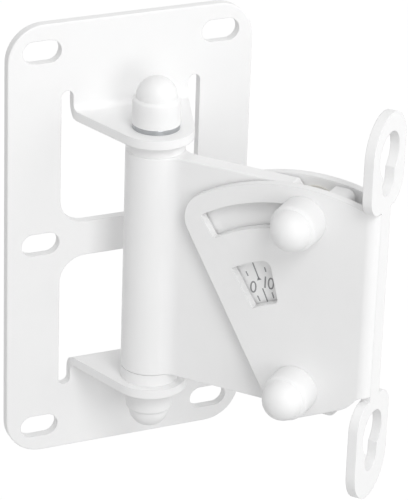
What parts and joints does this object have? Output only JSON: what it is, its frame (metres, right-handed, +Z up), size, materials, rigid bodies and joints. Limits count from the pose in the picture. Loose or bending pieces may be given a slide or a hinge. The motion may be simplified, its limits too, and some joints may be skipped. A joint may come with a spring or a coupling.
{
  "type": "speaker wall bracket",
  "caption": "White folded-steel speaker wall bracket: slotted wall plate, swivel arm on a vertical pivot, and tilting channel with keyhole ears.",
  "frame": {"origin": "centre of the wall plate's wall face", "axes": "+Y into the wall, +Z up, +X to the right seen from the room"},
  "size_m": [0.1334, 0.1228, 0.198],
  "materials": {
    "white_powder_coat": "satin white powder coat on folded steel sheet",
    "white_cap_plastic": "soft satin moulded white polyethylene",
    "white_bush_plastic": "satin white acetal",
    "nylon_shim": "natural nylon",
    "zinc_plated_steel": "bright zinc plate"
  },
  "bodies": {
    "plate": {"wall_plate": "white_powder_coat", "pivot_bolt": "zinc_plated_steel", "pivot_washer": "zinc_plated_steel", "pivot_nut": "zinc_plated_steel", "upper_pivot_cap": "white_cap_plastic", "lower_pivot_cap": "white_cap_plastic"},
    "arm": {"swivel_arm": "white_powder_coat", "upper_bush": "white_bush_plastic", "lower_bush": "white_bush_plastic", "clamp_bolt": "zinc_plated_steel", "clamp_washer": "zinc_plated_steel", "clamp_nut": "zinc_plated_steel", "clamp_cap": "white_cap_plastic", "clamp_near_shim": "nylon_shim", "clamp_far_shim": "nylon_shim", "tilt_bolt": "zinc_plated_steel", "tilt_washer": "zinc_plated_steel", "tilt_nut": "zinc_plated_steel", "tilt_cap": "white_cap_plastic", "tilt_near_shim": "nylon_shim", "tilt_far_shim": "nylon_shim"},
    "bracket": {"tilt_bracket": "white_powder_coat"}
  },
  "joints": [
    {"name": "swivel", "type": "hinge", "parent": "plate", "child": "arm", "pos_m": [0, -0.031, 0], "axis": [0, 0, 1], "range_deg": [-120, 40]},
    {"name": "tilt", "type": "hinge", "parent": "arm", "child": "bracket", "pos_m": [0.04665, -0.08659, -0.0385], "axis": [0.766, 0.6428, 0], "range_deg": [0, 30]}
  ]
}
